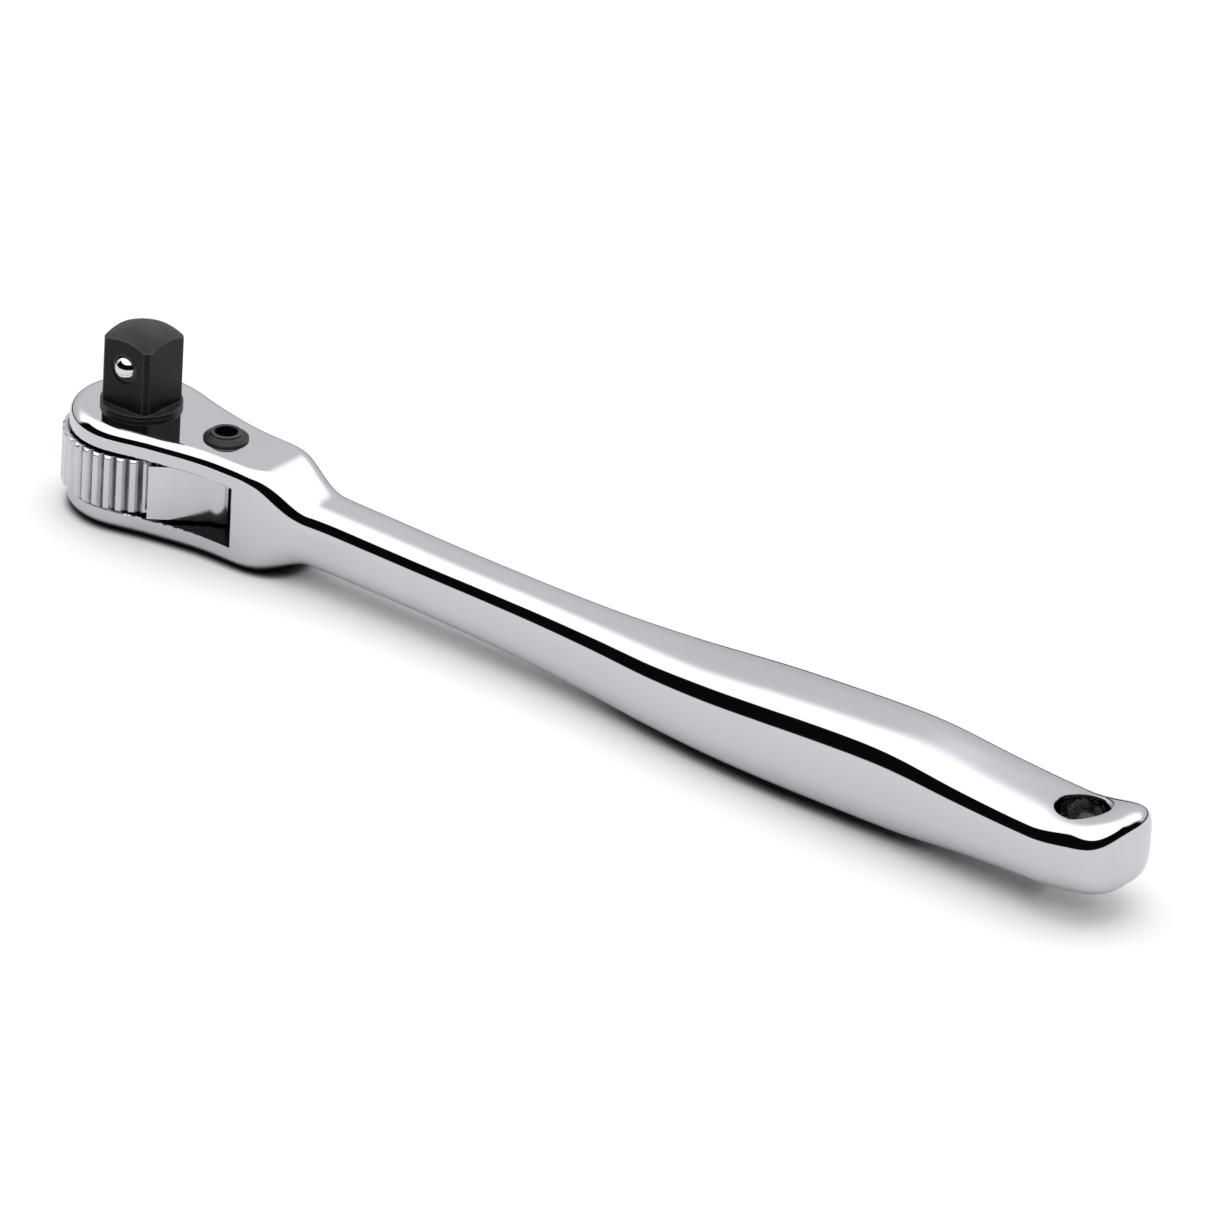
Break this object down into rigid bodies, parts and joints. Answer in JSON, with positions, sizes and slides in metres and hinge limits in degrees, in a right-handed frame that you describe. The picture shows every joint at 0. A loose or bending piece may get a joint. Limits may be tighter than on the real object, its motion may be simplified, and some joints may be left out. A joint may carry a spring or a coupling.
{
  "type": "ratchet wrench",
  "caption": "Slim reversible ratchet wrench with an open-nose head, thumb-turned wheel, rocking pawl and square drive.",
  "frame": {"origin": "drive axis on the bottom face of the head", "axes": "+X along the handle towards its end, +Z towards the square drive, -Y the side of the socket ball"},
  "size_m": [0.1368, 0.0162, 0.0206],
  "materials": {
    "polished_chrome": "full polish chrome plate",
    "bright_steel": "fine ground steel",
    "black_oxide": "satin black oxide on steel",
    "ball_steel": "polished bearing steel",
    "spring_steel": "bright drawn wire and strip"
  },
  "bodies": {
    "handle_body": {"body": "polished_chrome", "pawl_pin": "black_oxide", "plunger_spring": "spring_steel"},
    "drive": {"drive_gear": "bright_steel", "drive_spindle": "black_oxide", "upper_washer": "spring_steel", "lower_washer": "spring_steel", "wave_washer": "spring_steel", "retaining_ring": "black_oxide", "ball_spring": "spring_steel"},
    "ball": {"socket_ball": "ball_steel"},
    "pawl": {"pawl": "bright_steel"},
    "plunger": {"pawl_plunger": "bright_steel"}
  },
  "joints": [
    {"name": "drive_spin", "type": "hinge", "parent": "handle_body", "child": "drive", "pos_m": [0, 0, 0.0058], "axis": [0, 0, 1], "continuous": true},
    {"name": "ball_press", "type": "slide", "parent": "drive", "child": "ball", "axis": [0, 1, 0], "range_m": [0, 0.0006], "deforming": ["ball_spring"]},
    {"name": "pawl_shift", "type": "hinge", "parent": "handle_body", "child": "pawl", "pos_m": [0.0115, 0, 0.0058], "axis": [0, 0, -1], "range_deg": [0, 7]},
    {"name": "plunger_slide", "type": "slide", "parent": "handle_body", "child": "plunger", "axis": [1, 0, 0], "range_m": [0, 0.0005], "deforming": ["plunger_spring"]}
  ]
}
